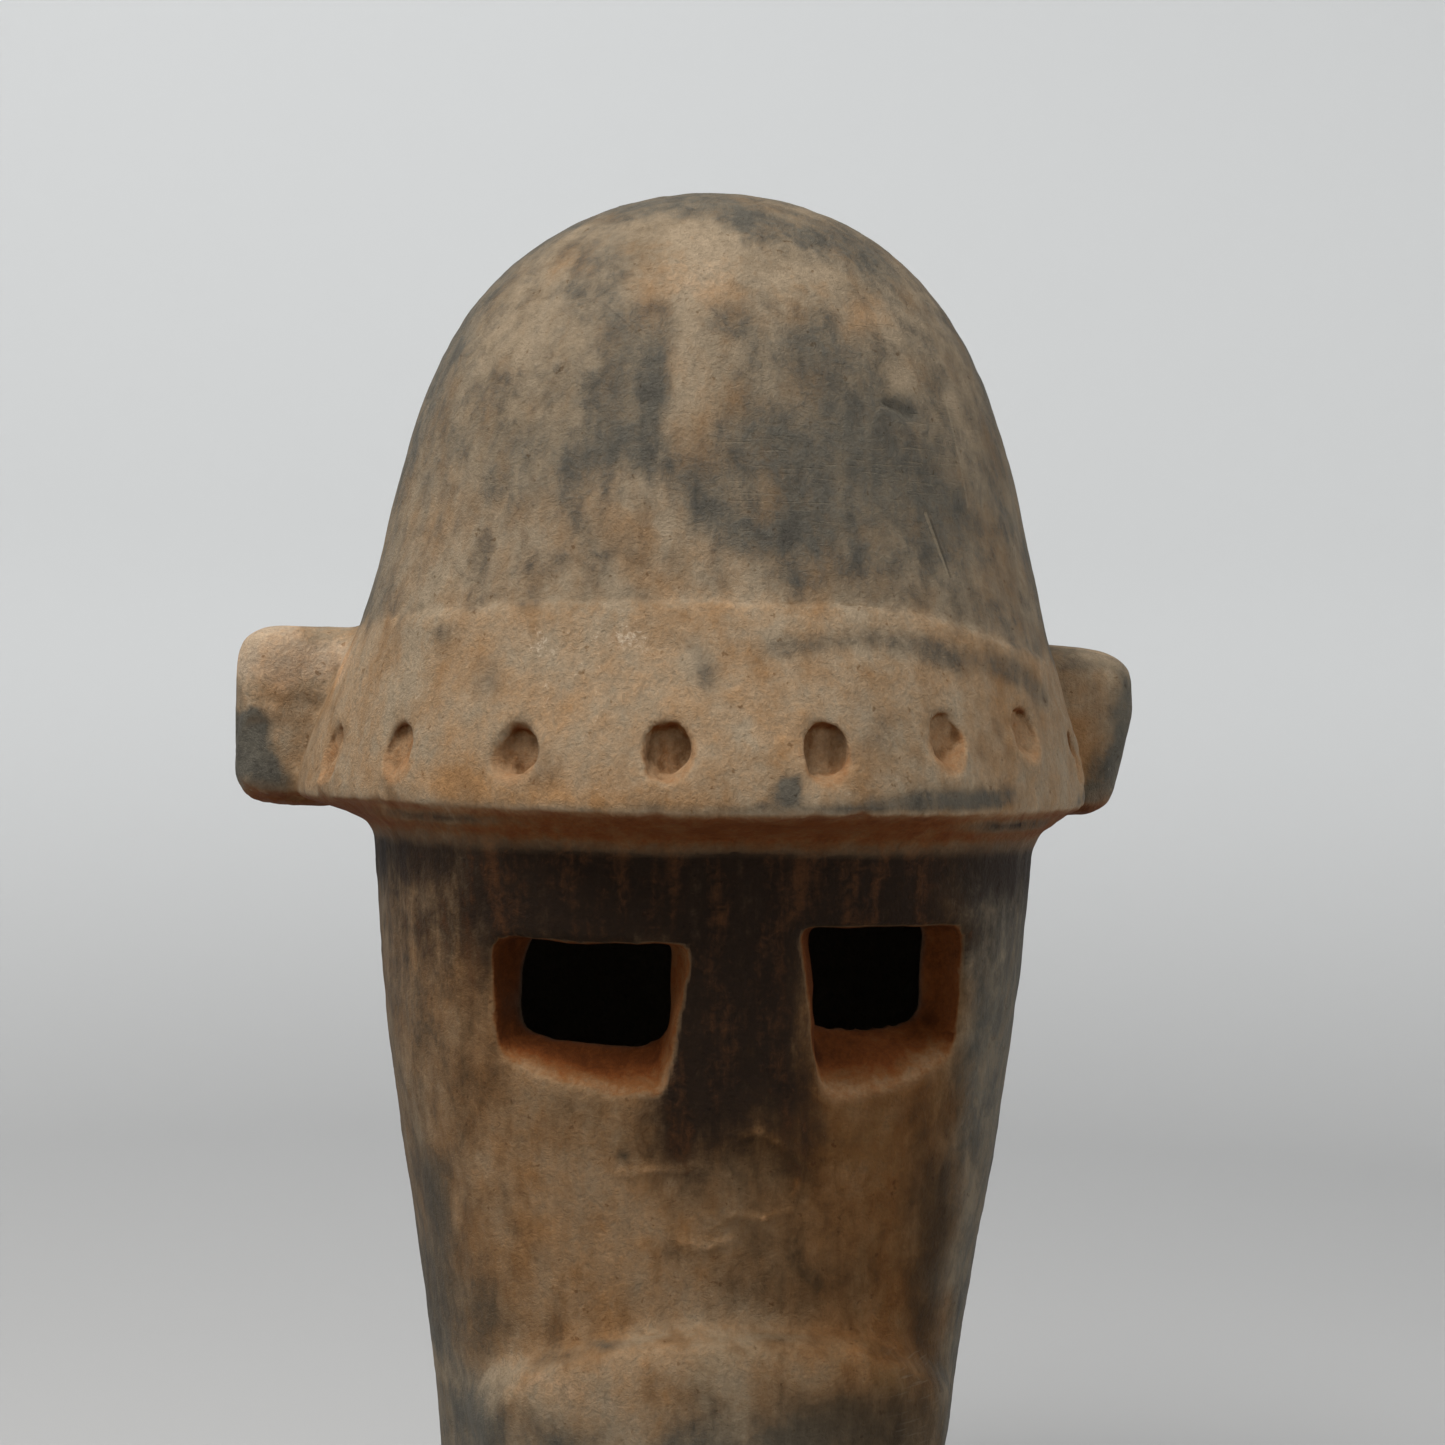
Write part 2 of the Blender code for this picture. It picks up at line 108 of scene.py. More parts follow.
# Stains of soot and slate-dark patina: x, z, half width, half height, lean in degrees, strength
SOOT_STAINS = (
    (-14, 554, 24, 6, 0, .55), (12, 548, 20, 7, 0, .5), (45, 540, 16, 9, -30, .5),
    (4, 546, 2.5, 9, 0, .6), (3, 518, 3, 22, 0, .25), (-41, 515, 6, 30, 0, .35),
    (-42, 480, 8, 20, 0, .3), (-28, 483, 5, 18, 0, .8), (-63, 466, 26, 16, 0, .35),
    (-40, 460, 16, 9, 0, .45), (-90, 450, 12, 30, 0, .25), (40, 460, 34, 22, 0, .85),
    (10, 470, 14, 10, -20, .5), (37, 490, 14, 18, 0, .5), (25, 500, 14, 6, 15, .3),
    (70, 440, 12, 20, 0, .5), (-14, 446, 8, 12, 40, .5), (-4, 436, 14, 6, 0, .6),
    (20, 440, 14, 8, 0, .5), (14, 423, 9, 4, 0, .45), (43, 430, 16, 6, 0, .5),
    (95, 470, 8, 40, 0, .3), (-102, 405, 12, 4, 0, .5), (-83, 389, 9, 6, 30, .45),
    (-14, 391, 5, 8, 0, .55), (-18, 399, 4, 4, 0, .3), (42, 376, 14, 10, 0, .35),
    (64, 350, 30, 4, 0, 1.0), (0, 347.5, 44, 2.5, 0, .6), (11, 354, 3.5, 4.5, 0, 1.5),
    (-64, 363, 5, 8, 0, .35), (-87, 352, 5, 5, 0, .35), (-170, 354, 17, 15, 0, 1.7),
    (-173, 376, 5, 16, 0, .6), (-163, 371, 6, 6, 0, 1.2), (171, 374, 9, 34, 0, 1.0),
    (152, 346, 22, 5, 0, .9), (55, 481, 7, 4, -15, .8), (-50, 247, 9, 5, 0, .5),
    (-96, 216, 7, 12, 0, .9), (-94, 186, 6, 26, 0, .7), (-80, 176, 10, 15, 0, .8),
    (-100, 160, 8, 30, 0, .5), (66, 211, 8, 38, 0, .8), (72, 190, 8, 50, 0, .6),
    (38, 190, 12, 15, 0, .5), (15, 192, 17, 17, 0, .45), (7, 226, 15, 13, 0, .4),
    (-5, 240, 28, 22, 0, .45), (-36, 234, 2, 3, 0, 1.6), (-69, 207, 4, 4, 0, .5),
    (-24, 201, 11, 6, 0, .5), (-54, 140, 6, 7, 0, 1.0), (-6, 144, 18, 9, 0, .9),
    (30, 149, 19, 9, 0, 1.5), (-80, 140, 8, 12, 0, .8), (-39.5, 172.5, 6, 1.2, 0, 1.0),
    (60, 140, 10, 14, 0, .8), (0, 118, 60, 12, 0, .5))

# Places rubbed to pale tan, and one painted highlight on the left lug's top, as above
RUBBED_AND_LIT_STAINS = (
    (-10, 530, 14, 18, 0, .9), (-28, 518, 18, 9, 0, .6), (-17, 485, 8, 22, 0, .7),
    (18, 521, 16, 9, 0, .6), (46, 511, 12, 8, 0, .55), (58, 492, 8, 5, 0, .5),
    (-62, 530, 10, 8, 0, .4), (-74, 506, 18, 12, 0, .3), (-66, 477, 8, 3, 0, .5),
    (-102, 435, 18, 30, 0, .35), (-78, 430, 22, 14, 0, .3), (-20, 434, 26, 10, -30, .5),
    (5, 418, 16, 6, 0, .35), (-50, 415, 40, 6, 0, .3), (-48, 220, 30, 30, 0, .45),
    (-36, 193, 26, 22, 0, .35), (-45, 157, 24, 6, 0, .7), (-36, 146, 9, 8, 0, .5),
    (10, 370, 14, 8, 0, .3), (-45, 380, 60, 16, 0, .5), (-148, 396, 22, 9, 0, 1.8),
    (-48, 245, 26, 6, 0, .3))

# Reddish raw or rust-brown wood, as above
RUST_STAINS = (
    (-23, 332, 10, 6, 0, .5), (25, 326, 8, 10, 0, .35), (-58, 329, 20, 8, 0, .3),
    (-35, 428, 7, 15, 38, .5), (-22, 417, 10, 3, 0, .4), (-63, 209, 5, 5, 0, .4),
    (-28, 203, 4, 4, 0, .4), (-17, 206, 4, 6, 0, .4), (46, 508, 14, 9, 0, .4),
    (149, 362, 8, 15, 12, .9), (-92, 355, 14, 5, 0, .5), (-40, 349, 30, 3, 0, .4),
    (-160, 385, 8, 12, 0, .35), (-70, 352, 12, 6, 0, .35))

# Whitish remains of clay, as above
CHALK_STAINS = (
    (-64, 399, 3, 5, 0, .8), (-37, 399, 8, 5, 0, .6), (-59, 381, 4, 3, 0, .6),
    (-54, 352, 4, 6, 0, .6), (-44, 354, 8, 6, 0, .7), (30, 349, 3, 5, 0, .9),
    (-105, 385, 8, 5, 0, .5), (-80, 370, 50, 20, 0, .15), (-48, 393, 26, 9, 0, .5),
    (20, 378, 10, 8, 0, .4))

# Patches of fine cross scratches, as above
HATCHED_PATCHES = (
    (15, 457, 24, 15, 0, .9), (64, 470, 24, 20, 0, .9), (48, 508, 14, 10, 0, .7),
    (64, 150, 16, 18, 0, .9))

# Dark stripes of soot across the band: ends (x, z) and half width
SOOT_STRIPES = (
    ((6, 400), (38, 403), 3.8), ((38, 403), (61, 402), 4.2), ((61, 402), (95, 395), 4.2),
    ((95, 395), (112, 385), 3.8))

# Fine ridges left by the knife on the nose: ends (x, z)
NOSE_RIDGES = (
    ((-16, 206), (-8, 204)), ((-8, 204), (0, 206.5)), ((0, 215), (10, 213.5)),
    ((10, 213.5), (19, 216.5)), ((19, 216.5), (21.5, 226)), ((21.5, 226), (21, 246)),
    ((2, 241), (8, 242.5)), ((8, 242.5), (14, 239)), ((14, 239), (19, 235)),
    ((-37, 227.5), (-25, 229.5)), ((-28, 229), (-10, 230.5)))

# Scratches and cracks: ends (x, z), half width, and strength, less than 0 where dark
SCRATCHES = (
    ((74, 489), (79, 466), .35, .25), ((79, 466), (81.5, 450), .35, .25),
    ((64, 446), (72, 426), .5, .35), ((66, 444), (73, 425), .4, -.5),
    ((-45, 515), (-33, 503), .4, -.25))


def smooth(low, high, value):
    """Share from 0 to 1 that eases in at low and out at high."""
    share = np.clip((value - low) / (high - low), 0.0, 1.0)
    return share * share * (3 - 2 * share)


def lumps(points, size, seed, stretch=1.0):
    """Smooth noise from -1 to 1 whose lumps have one size, drawn out upwards by stretch."""
    lattice = np.random.default_rng(seed).uniform(-1, 1, (LATTICE, LATTICE, LATTICE))
    place = points / (size, size, size * stretch) + 91.7
    cell = np.floor(place).astype(int)
    part = smooth(0, 1, place - cell)
    total = np.zeros(len(points))
    for corner in itertools.product((0, 1), repeat=3):
        weight = np.prod(np.where(corner, part, 1 - part), axis=1)
        total += weight * lattice[tuple(((cell + corner) % LATTICE).T)]
    return total


def fractal(points, size, seed, stretch=1.0, layers=3):
    """Noise of several sizes, each layer half as large and half as strong as the last."""
    return sum(lumps(points, size / 2 ** layer, seed + layer, stretch) / 2 ** layer
               for layer in range(layers))


def stain(across, up, place):
    """Soft oval patch from its list entry, in millimetres."""
    x, z, half_width, half_height, lean, strength = place
    turn = math.radians(lean)
    aside = (across - x) * math.cos(turn) + (up - z) * math.sin(turn)
    along = (up - z) * math.cos(turn) - (across - x) * math.sin(turn)
    spread = np.hypot(aside / half_width, along / half_height)
    return strength * smooth(1.6, 0.25, spread)


def stroke(across, up, start, end):
    """Distance from the straight stroke between two places."""
    reach = np.subtract(end, start)
    along = (across - start[0]) * reach[0] + (up - start[1]) * reach[1]
    share = np.clip(along / (reach @ reach), 0, 1)
    return np.hypot(across - start[0] - share * reach[0], up - start[1] - share * reach[1])


def merged_copy(node, name):
    """Copy of a solid whose loose triangles are merged to one closed skin."""
    mesh = node.data.copy()
    work = bmesh.new()
    work.from_mesh(mesh)
    bmesh.ops.remove_doubles(work, verts=work.verts, dist=0.00002)
    work.to_mesh(mesh)
    work.free()
    mesh.materials.clear()
    made = bpy.data.objects.new(name, mesh)
    bpy.context.scene.collection.objects.link(made)
    return made


def apply_modifiers(made):
    """Turn what the object's modifiers make into its own plain mesh."""
    bpy.context.view_layer.update()
    seen = made.evaluated_get(bpy.context.evaluated_depsgraph_get())
    mesh = bpy.data.meshes.new_from_object(seen)
    made.modifiers.clear()
    made.data = mesh
    return mesh


class Skin:
    """A mesh's points and links held as arrays while it is carved."""

    def __init__(self, mesh):
        self.mesh = mesh
        self.points = np.empty(len(mesh.vertices) * 3)
        mesh.vertices.foreach_get("co", self.points)
        self.points = self.points.reshape(-1, 3)
        links = np.empty(len(mesh.edges) * 2, dtype=np.int64)
        mesh.edges.foreach_get("vertices", links)
        self.starts, self.ends = links.reshape(-1, 2).T
        self.links = np.bincount(links, minlength=len(self.points))

    def around(self, values):
        """Mean of each point's neighbours."""
        if values.ndim > 1:
            return np.column_stack([self.around(column) for column in values.T])
        size = len(self.points)
        total = np.bincount(self.starts, values[self.ends], size)
        return (total + np.bincount(self.ends, values[self.starts], size)) / self.links

    def spread(self, values, times):
        """Values evened out with their neighbours."""
        for _ in range(times):
            values = (values + self.around(values)) / 2
        return values

    def relax(self, times, amount=1.0):
        """Ease edges and bumps, where amount says so, without drawing the form in."""
        amount = np.broadcast_to(amount, len(self.points))[:, None]
        for step in range(times * 2):
            pull = 0.5 if step % 2 == 0 else -0.51
            self.points = self.points + (self.around(self.points) - self.points) * pull * amount

    def melt(self, times, amount):
        """Round off hollows and ridges where amount says so."""
        for _ in range(times):
            self.points = self.points + (self.around(self.points) - self.points) * 0.5 * amount[:, None]

    def settle(self):
        """Write the points to the mesh and return their outward directions."""
        self.mesh.vertices.foreach_set("co", self.points.ravel())
        self.mesh.update()
        facing = np.empty(len(self.points) * 3)
        self.mesh.vertex_normals.foreach_get("vector", facing)
        return facing.reshape(-1, 3)

    def keep(self, name, columns):
        """Store up to four values a point as one colour attribute."""
        layer = self.mesh.attributes.new(name, "FLOAT_COLOR", "POINT")
        values = np.ones((len(self.points), 4))
        values[:, :len(columns)] = np.column_stack(columns)
        layer.data.foreach_set("color", values.ravel())


class Places:
    """Where each point of the skin lies on the mask."""

    def __init__(self, points, facing):
        self.points = points
        self.x, self.y, self.z = points.T
        self.across, self.up = self.x / MM, self.z / MM
        self.facing = facing
        self.turn = np.arctan2(self.x, -(self.y - AXIS_Y))
        rise = np.maximum(self.z - DOME_CENTRE, 0)
        outward = np.column_stack((self.x, self.y - AXIS_Y, rise))
        outward /= np.linalg.norm(outward, axis=1)[:, None] + 1e-9
        self.outward = np.einsum("ij,ij->i", outward, facing)
        self.front = smooth(0.25, -0.05, facing[:, 1]) * (self.y < AXIS_Y + 0.04)
        drop = BAND_TOP_RIGHT_DROP * smooth(0.040, 0.125, self.x) * (self.y < 0.02)
        self.junction = BAND_TOP - BAND_TOP_SIDE_DROP * np.sin(self.turn) ** 2 - drop

    def inside(self):
        """1 in the hollow, 0 on the outside."""
        return smooth(-0.05, -0.45, self.outward)

    def band(self):
        """1 on the sloping band between brim and dome."""
        over_brim = smooth(BRIM_EDGE + 0.001, BRIM_EDGE + 0.004, self.z)
        return over_brim * smooth(self.junction + 0.003, self.junction - 0.003, self.z)

    def face_depth(self):
        """How far a point lies behind the smooth skin of the face."""
        half_width = FACE_HALF_WIDTH + (self.z - FACE_HEIGHT) * FACE_WIDENING
        reach = FACE_REACH + (self.z - FACE_HEIGHT) * FACE_LEANING
        share = np.clip(np.abs(self.x) / half_width, 0, 0.999) ** FACE_POWER
        skin = FACE_WIDEST - (reach + FACE_WIDEST) * (1 - share) ** (1 / FACE_POWER)
        return self.y - AXIS_Y - skin

    def eye(self):
        """1 on the cut walls and sills of the eyes."""
        depth = self.face_depth()
        sill = 0.243 + 0.016 * smooth(0.052, 0.080, np.abs(self.x))
        window = smooth(sill, sill + 0.004, self.z) * smooth(0.3095, 0.3075, self.z)
        window = window * smooth(0.088, 0.086, np.abs(self.x))
        window = window * smooth(0.012, 0.014, np.abs(self.x - 0.003))
        return window * smooth(0.0005, 0.0020, depth) * smooth(0.034, 0.028, depth)

    def hole(self, hole):
        """How many half widths aside of a hole, how deep, whether near, and the way outwards."""
        x, y, z, degrees, _ = hole
        facing = math.radians(degrees)
        aside, along, above = self.x / MM - x, self.y / MM - y, self.up - z
        across = along * math.cos(facing) - aside * math.sin(facing)
        depth = aside * math.cos(facing) + along * math.sin(facing) + above * BAND_SLOPE
        near = (depth > HOLE_REACH[0]) * (depth < HOLE_REACH[1])
        outward = np.array((math.cos(facing), math.sin(facing), BAND_SLOPE)) / (1 + BAND_SLOPE ** 2)
        return np.hypot(across / HOLE_HALF[0], above / HOLE_HALF[1]), depth, near, outward

    def holes(self):
        """1 in the band's blind holes, and 1 on a wider ring around them."""
        deep = np.zeros(len(self.x))
        ring = np.zeros(len(self.x))
        for hole in HOLES:
            spread, depth, near, _ = self.hole(hole)
            ring = np.maximum(ring, near * smooth(1.7, 1.2, spread))
            deep = np.maximum(deep, near * smooth(1.12, 0.96, spread) * smooth(-0.4, -1.3, depth))
        return deep, ring


def carve(skin):
    """Small unevenness of hand-cut and worn wood."""
    skin.relax(5)
    place = Places(skin.points, skin.settle())

    # The solid's flats are eased away on the dome and the face, and the eyes' edges are worn round
    window = smooth(0.228, 0.236, place.z) * smooth(0.318, 0.310, place.z)
    window = window * (np.abs(place.x) < 0.095) * (place.y < -0.04)
    face = smooth(0.004, 0.010, place.z) * smooth(0.318, 0.308, place.z) * (1 - window)
    dome = smooth(place.junction + 0.003, place.junction + 0.010, place.z)
    skin.melt(36, np.maximum(dome, face))
    skin.melt(7, skin.spread(window, 6))

    # The lugs' roots and ends and the muzzle's crease are worn rounder still
    fillet = smooth(0.152, 0.140, np.abs(place.x)) * smooth(0.100, 0.112, np.abs(place.x))
    fillet = fillet * smooth(0.392, 0.398, place.z) * smooth(0.436, 0.428, place.z)
    fillet = fillet * (np.abs(place.y - 0.0355) < 0.045)
    crease = place.front * smooth(0.142, 0.152, place.z) * smooth(0.192, 0.184, place.z)
    lug_end = smooth(0.155, 0.166, np.abs(place.x))
    skin.melt(40, skin.spread(np.maximum(fillet, np.maximum(crease * 0.4, lug_end * 0.9)), 6))

    # The right lug narrows downwards and its top slopes a little
    x, _, z = skin.points.T
    x -= 0.0065 * smooth(0.148, 0.168, x) * smooth(0.386, 0.346, z)
    z -= 0.0035 * smooth(0.128, 0.172, x) * smooth(0.374, 0.392, z)

    # Holes worn shallow, with rounded rims
    worn = np.zeros(len(skin.points))
    for hole in HOLES:
        spread, depth, near, outward = place.hole(hole)
        lost = 1 - hole[-1]
        lift = near * smooth(1.45, 1.15, spread) * np.maximum(-depth - 0.3, 0) * lost * MM
        skin.points = skin.points + lift[:, None] * outward
        worn = np.maximum(worn, near * smooth(1.6, 1.2, spread) * lost)
    skin.melt(22, skin.spread(worn, 3))
    facing = skin.settle()
    place = Places(skin.points, facing)
    inside = skin.spread(place.inside(), 4)
    deep, ring = place.holes()
    eye = place.eye()

    # Sideways drift that makes the holes' and eyes' edges uneven
    drift = np.column_stack([lumps(skin.points, 0.011, seed) for seed in (11, 12, 13)])
    skin.points = skin.points + drift * (0.0011 * np.maximum(ring, 0.9 * eye))[:, None]

    # Waves and pits of the knife and of wear, as how far each point rises
    height = 0.0007 * fractal(skin.points, 0.060, 21) * (1 - inside)
    height += 0.00022 * fractal(skin.points, 0.013, 31, 1.6)
    height += 0.00022 * fractal(skin.points, 0.006, 35, 1.2, 2) * (1 - inside)
    height += 0.0012 * fractal(skin.points, 0.030, 41, 2.5, 2) * inside
    height += deep * 0.0013 * fractal(skin.points, 0.0055, 51, 1.6, 2)
    height += eye * 0.0004 * fractal(skin.points, 0.009, 61, 1.0, 2)

    # Lip of the brim, nibbled from wear
    lip = smooth(BRIM_EDGE - 0.009, BRIM_EDGE - 0.001, place.z)
    lip = lip * smooth(BRIM_EDGE + 0.008, BRIM_EDGE + 0.002, place.z)
    lip = lip * smooth(0.126, 0.134, np.hypot(place.x, (place.y - AXIS_Y) * 1.05))
    nibble = np.maximum(fractal(skin.points, 0.016, 71), 0) ** 1.5
    nibble = nibble + 0.25 * np.maximum(lumps(skin.points, 0.006, 75), 0)
    height -= 0.0016 * lip * nibble

    # The band's top edge stands a little proud of the dome's foot
    edge = place.junction + 0.0012 * fractal(skin.points, 0.022, 81)
    step = smooth(edge + 0.0015, edge - 0.0015, place.z)
    step = step * smooth(edge - 0.016, edge - 0.004, place.z)
    height += 0.0012 * step * (1 - inside) * (1 - smooth(0.112, 0.120, np.abs(place.x)))

    # Worn grooves and lapped edges beside the lugs
    round_band = np.degrees(place.turn) * MM_PER_DEGREE + 0.8 * lumps(skin.points, 0.012, 91)
    beside = (1 - inside) * (np.abs(place.x) > 0.100)
    for start, end, half_width, depth in GROOVES:
        first, last = (start[0] * MM_PER_DEGREE, start[1]), (end[0] * MM_PER_DEGREE, end[1])
        gap = stroke(round_band, place.up, first, last)
        height -= depth * MM * smooth(1.5, 0.2, gap / half_width) * beside

    # Knife ridges on the nose
    for start, end in NOSE_RIDGES:
        gap = stroke(place.across, place.up, start, end)
        height += 0.0006 * place.front * smooth(2.0, 0.0, gap)
    height -= 0.0006 * stain(place.across, place.up, (9, 228, 11, 12, 0, 1.0)) * place.front

    # One notch struck into the dome
    notch = stroke(place.across, place.up, (50, 483.5), (60, 480))
    height -= 0.0013 * smooth(2.8, 0.2, notch + 0.9 * lumps(skin.points, 0.004, 95)) * place.front

    # The mask keeps inside the solid's box, and its foot is flat
    skin.points = np.clip(skin.points + facing * height[:, None], *np.array(cad_box))
    foot = skin.points[:, 2] < 0.0012
    skin.points[foot, 2] = 0.0
    skin.settle()


def paint(skin):
    """Patina and wear of each point, with painted light and shade among them, kept as attributes that
    the wood's colours read.
    """
    facing = skin.settle()
    place = Places(skin.points, facing)

    # Patches drift in lumps, and their borders are feathered up and down the grain
    drift = np.column_stack([0.006 * fractal(skin.points, 0.045, seed, 1.0, 2)
                             + 0.0035 * fractal(skin.points, 0.014, seed + 9) for seed in (3, 5, 7)])
    drift[:, 2] += 0.004 * fractal(skin.points, 0.008, 15, 6.0, 2)
    bent = skin.points + drift
    across, up = bent[:, 0] / MM, bent[:, 2] / MM

    # The mask's parts
    inside = skin.spread(place.inside(), 3)
    band = place.band()
    ragged = place.z + 0.003 * fractal(bent, 0.012, 17)
    dome = smooth(place.junction - 0.003, place.junction + 0.004, ragged)
    face = 1 - smooth(BRIM_EDGE - 0.002, BRIM_EDGE + 0.002, place.z)
    lug = smooth(0.146, 0.156, np.abs(place.x))
    deep, _ = place.holes()
    eye = place.eye()
    window = smooth(0.228, 0.240, place.z) * smooth(0.318, 0.308, place.z)
    window = window * smooth(0.096, 0.086, np.abs(place.x)) * face * (place.y < 0)
    front = smooth(0.010, -0.040, place.y)
    right = smooth(-0.02, 0.07, place.x)
    # The face's right edge is painted pale bluish grey as a glow of the bright backdrop, partly slate
    # patina
    far_right = smooth(0.066, 0.090, place.x + drift[:, 0])
    far_right = far_right * smooth(0.10, -0.02, place.y + 2 * drift[:, 1])
    low_face = smooth(0.175, 0.135, place.z) * front
    low_face = low_face + smooth(0.26, 0.04, place.z + 4 * drift[:, 2]) * (1 - front)
    turned = smooth(0.60, 0.12, -facing[:, 1])

    bulge = np.einsum("ij,ij->i", skin.points - skin.spread(skin.points, 12), facing)
    ridge = smooth(0.0002, 0.0011, bulge) * (1 - 0.97 * window * smooth(0.256, 0.272, place.z))
    # Hollows, where grime and painted shade go
    hollow = smooth(0.0001, 0.0009, -bulge)

    # Under the brim the wood is unrubbed and near black on the brow, partly as painted shadow of the
    # brim, and near black down the nose
    side = smooth(0.060, 0.110, np.abs(bent[:, 0] + 0.008))
    brow = smooth(0.266, 0.312, place.z + 0.6 * drift[:, 2]) * (1 - 0.60 * side)
    centre = smooth(0.042, 0.016, np.abs(bent[:, 0] + 0.003)) * smooth(0.210, 0.256, bent[:, 2])
    black = 0.85 * smooth(0.290, 0.328, place.z)
    black = np.maximum(front * np.maximum(brow, centre), black) * face

    # How much of each finish the mask's parts have
    # Soot is also painted shade here: sides turned away from the front get more slate-dark patina
    soot_and_painted_light = dome * (0.40 + 0.36 * turned) + band * (0.08 + 0.10 * turned)
    soot_and_painted_light = soot_and_painted_light + lug * (0.16 + 0.30 * smooth(0.372, 0.352, bent[:, 2]))
    aside = smooth(0.062, 0.092, np.abs(bent[:, 0]))
    soot_and_painted_light = soot_and_painted_light + face * (0.24 + 0.10 * aside + 0.16 * low_face + 0.12 * turned)
    off_front = 1 - smooth(0.3, -0.3, facing[:, 1])
    soot_and_painted_light = soot_and_painted_light + 0.20 * off_front * fractal(bent, 0.060, 101, 1.4, 2) + 0.32 * face * far_right
    # Painted light: the lugs' upward faces and upper parts, more on the left towards the light, and the
    # band's left part are made paler like rubbed wood
    up_side = smooth(0.4, 0.8, facing[:, 2]) * lug
    rubbed_and_lit = 0.20 * ridge + lug * smooth(0.352, 0.376, bent[:, 2]) * (0.55 - 0.40 * right)
    rubbed_and_lit = rubbed_and_lit + up_side * (1.7 - 1.4 * right) + 0.12 * band * smooth(0.02, -0.08, place.x)
    rust = band * 0.35 - lug * 0.22 + dome * 0.18 * smooth(0.500, 0.430, place.z)
    rust = rust + face * (0.62 + 0.20 * right - 0.46 * low_face)
    rust = rust - face * (0.35 * turned + 0.8 * far_right)
    chalk = band * (0.05 + 0.08 * smooth(0.02, -0.10, place.x)) * (1 - lug)
    # Painted shade with the oil: the face is darker to the right, away from the light, and round the
    # eyes below the brim, and lighter low down
    oiled_and_shaded = face * np.clip(0.34 + 0.72 * right + 0.25 * window - 0.34 * low_face, 0, 1)
    oiled_and_shaded = oiled_and_shaded * (1 - 0.95 * far_right)
    oiled_and_shaded = oiled_and_shaded + 0.22 * stain(across, up, (2, 236, 30, 24, 0, 1.0)) * face * place.front
    hatched = np.zeros(len(soot_and_painted_light))

    # Single stains, the small ones less bent: list, what they add to, how much, more on the band
    layers = ((SOOT_STAINS, soot_and_painted_light, 0.45, 0.9), (RUBBED_AND_LIT_STAINS, rubbed_and_lit, 0.75, 0),
              (RUST_STAINS, rust, 0.9, 0), (CHALK_STAINS, chalk, 0.6, 0),
              (HATCHED_PATCHES, hatched, 1.0, 0))
    for stains, layer, amount, more in layers:
        for entry in stains:
            share = min(1.0, max(0.15, min(entry[2:4]) / 12))
            shape = stain(place.across + share * (across - place.across),
                          place.up + share * (up - place.up), entry)
            layer += amount * (1 + more * band) * shape * place.front
    near_across, near_up = (place.across * 3 + across) / 4, (place.up * 3 + up) / 4
    stripe = np.zeros(len(soot_and_painted_light))
    for start, end, half_width in SOOT_STRIPES:
        gap = stroke(near_across, near_up, start, end)
        stripe = np.maximum(stripe, smooth(1.7, 0.2, gap / half_width))
    soot_and_painted_light += 0.40 * stripe * place.front

    # Pale crest of the muzzle's ledge, partly a painted highlight where its top catches the light, and
    # the nose's ridges
    broken = np.clip(0.6 + 1.1 * fractal(skin.points, 0.006, 121), 0, 1)
    rise = bent[:, 2] - (0.1745 - 0.026 * np.clip(np.abs(place.x + 0.004) / 0.080, 0, 1) ** 2.2)
    crest = smooth(-0.012, -0.003, rise) * smooth(0.004, -0.001, rise)
    rubbed_and_lit += 0.40 * crest * place.front
    rust -= 0.30 * crest * place.front
    for start, end in NOSE_RIDGES:
        gap = stroke(place.across, place.up, start, end)
        rubbed_and_lit += 0.75 * smooth(2.0, 0.0, gap) * place.front * broken

    # Cut walls: darkest and reddest deep in the eyes, palest in the holes. Painted light pales the
    # eyes' sills, less deep in, and the eye walls that face the light at the left; the brim's
    # underside is dark cut wood, partly painted shade
    # Painted shade on the brim's downward-facing underside
    under = smooth(-0.1, -0.8, facing[:, 2]) * smooth(0.312, 0.334, place.z + 0.3 * drift[:, 2])
    under = under * smooth(0.100, 0.108, np.hypot(place.x, place.y - AXIS_Y)) * (1 - inside)
    depth = place.face_depth()
    low_edge = smooth(0.272, 0.262, place.z) * smooth(0.010, 0.003, depth)
    # Painted light on the upward-facing sills, fading deeper in
    sill = np.maximum(smooth(0.25, 0.75, facing[:, 2]), low_edge) * eye
    sunk = smooth(0.001, 0.013, depth)
    # Painted light on eye walls that face the light at the left, less on the right
    lit = smooth(-0.35, -0.80, facing[:, 0]) * (0.36 - 0.20 * right)
    rim = smooth(0.0035, 0.0005, depth) * (1 - sill)
    raw = np.clip(np.maximum(np.maximum(deep, eye), 0.85 * under), 0, 1)
    cut_tone_and_shade = eye * (1 + 0.1 * rim - lit * (1 - sill) - sill * (0.62 + 0.10 * right - 0.54 * sunk))
    cut_tone_and_shade = np.clip(np.maximum(0.21 * deep, np.maximum(0.72 * under, cut_tone_and_shade)), 0, 1)
    # These attributes carry painted light and shade as well as patina and wear
    skin.keep("patina", (soot_and_painted_light, rubbed_and_lit, rust, chalk))
    skin.keep("form", (ridge, hollow, raw, inside))
    skin.keep("wear", (oiled_and_shaded, hatched, cut_tone_and_shade, black))


